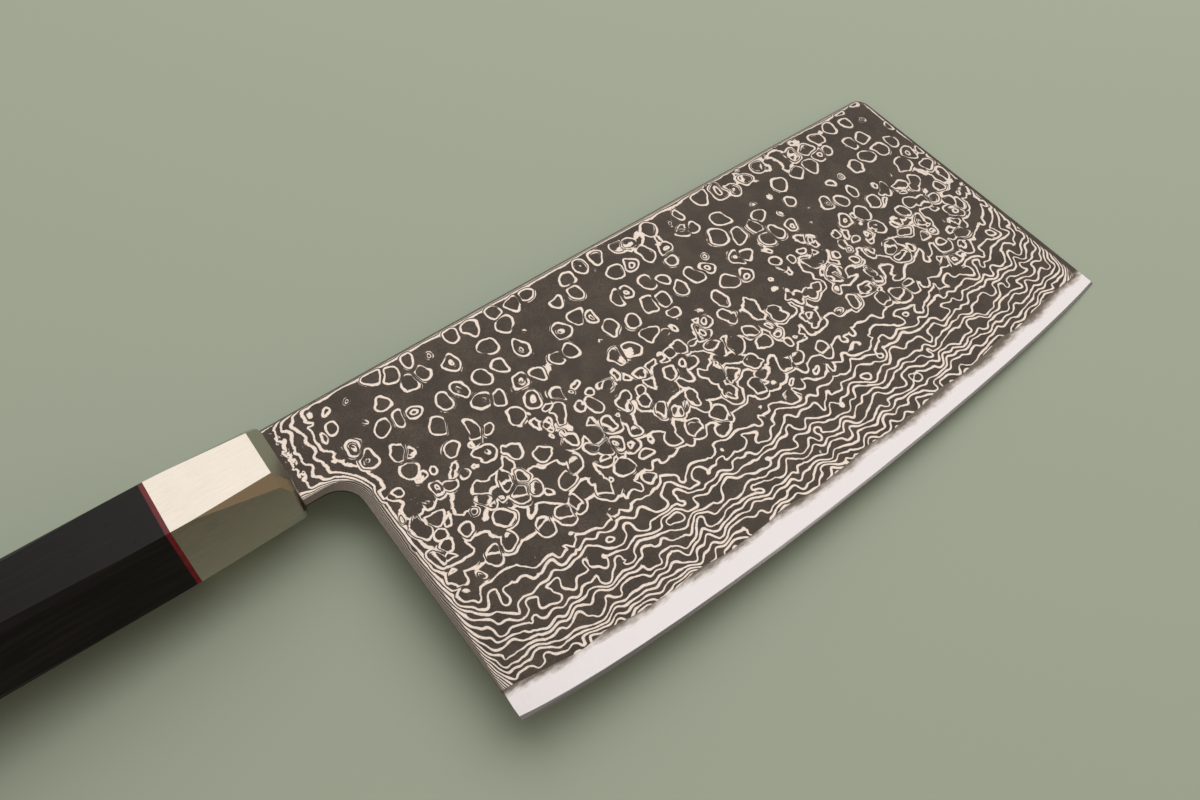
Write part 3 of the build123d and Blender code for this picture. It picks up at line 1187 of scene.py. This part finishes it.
@dataclass
class Grip:
    """The handle with its spacer, ferrule and the resin inside."""

    wood: DarkWood = DarkWood()
    spacer: RedSpacer = RedSpacer()
    ferrule: NickelSilver = NickelSilver()
    resin: Resin = Resin()

    def build(self) -> None:
        """Dress the handle's pieces."""
        dress(Node.HANDLE, self.wood.build())
        dress(Node.SPACER, self.spacer.build())
        dress(Node.FERRULE, self.ferrule.build())
        dress(Node.BEDDING, self.resin.build())


@dataclass
class Softbox:
    """One soft rectangular lamp: its places and sizes in metres, its power in watts."""

    name: str = "key_softbox"
    place: Triple = (0.50, 0.37, 0.88)
    aim: Triple = (0.05, 0.0, 0.0)
    width: float = 1.65
    height: float = 1.1
    power: float = 8.9
    tint: Colour = (255, 252, 251)

    def build(self) -> None:
        """Hang the lamp."""
        data = bpy.data.lights.new(self.name, "AREA")
        data.shape = "RECTANGLE"
        data.size = self.width
        data.size_y = self.height
        data.energy = self.power
        data.color = linear(*self.tint)[:3]
        lamp = bpy.data.objects.new(self.name, data)
        bpy.context.scene.collection.objects.link(lamp)
        lamp.location = self.place
        way = Vector(self.aim) - Vector(self.place)
        lamp.rotation_euler = way.to_track_quat("-Z", "Y").to_euler()


@dataclass
class Room:
    """The room's dim light, brighter overhead, with a dark wall behind the camera."""

    low: Colour = (128, 127, 112)
    wall: Colour = (178, 171, 156)
    near_low: Colour = (60, 55, 46)
    near_wall: Colour = (170, 148, 118)
    high: Colour = (160, 157, 150)
    nearness: Ramp = Ramp(-0.45, -0.8)
    wall_rise: Ramp = Ramp(0.02, 0.22)
    high_rise: Ramp = Ramp(0.3, 0.7)
    strength: float = 1.0

    def build(self) -> None:
        """Light the room."""
        world = bpy.context.scene.world or bpy.data.worlds.new("room")
        bpy.context.scene.world = world
        world.use_nodes = True
        graph = Graph(world.node_tree)
        background = world.node_tree.nodes["Background"].inputs
        _, away, up = graph.split(graph.node("ShaderNodeTexCoord").outputs["Generated"])
        near = graph.step(away, self.nearness)
        low = graph.blend(near, linear(*self.low), linear(*self.near_low))
        wall = graph.blend(near, linear(*self.wall), linear(*self.near_wall))
        wall = graph.blend(graph.step(up, self.wall_rise), low, wall)
        light = graph.blend(graph.step(up, self.high_rise), wall, linear(*self.high))
        graph.feed(background["Color"], light)
        graph.feed(background["Strength"], self.strength)


@dataclass
class Camera:
    """The camera, where the photograph was taken from."""

    place: Triple = (-0.035219, -0.087932, 0.204729)
    turn_deg: Triple = (30.7593, 0.0082, -36.6331)
    lens_mm: float = 30.0
    sensor_mm: float = 36.0
    nearest: float = 0.005

    def build(self) -> None:
        """Set up the camera."""
        data = bpy.data.cameras.new("camera")
        data.lens = self.lens_mm
        data.sensor_width = self.sensor_mm
        data.clip_start = self.nearest
        camera = bpy.data.objects.new("camera", data)
        bpy.context.scene.collection.objects.link(camera)
        camera.location = self.place
        camera.rotation_euler = tuple(math.radians(angle) for angle in self.turn_deg)
        bpy.context.scene.camera = camera


@dataclass
class Studio:
    """The table, the lamp, the room and the camera."""

    table_reach: float = 24.0
    table: PaleTable = PaleTable()
    room: Room = field(default_factory=Room)
    key: Softbox = field(default_factory=Softbox)
    camera: Camera = field(default_factory=Camera)

    def lay_table(self) -> None:
        """Lay the table's top."""
        bpy.ops.object.select_all(action="DESELECT")
        bpy.ops.mesh.primitive_plane_add(size=self.table_reach, location=(0.0, 0.0, 0.0))
        table = bpy.context.object
        table.name = "table_top"
        table.data.materials.append(self.table.build())
        LOG.info("the table is laid")

    def build(self) -> None:
        """Set up the whole studio."""
        self.lay_table()
        self.room.build()
        self.key.build()
        self.camera.build()
        bpy.context.scene.view_settings.view_transform = "Standard"
        LOG.info("the studio is lit")


def main() -> None:
    """Dress the knife and set up the studio."""
    logging.basicConfig(level=logging.INFO, format="%(name)s: %(message)s")
    Blade().build()
    Grip().build()
    Studio().build()


if __name__ == "__main__":
    main()
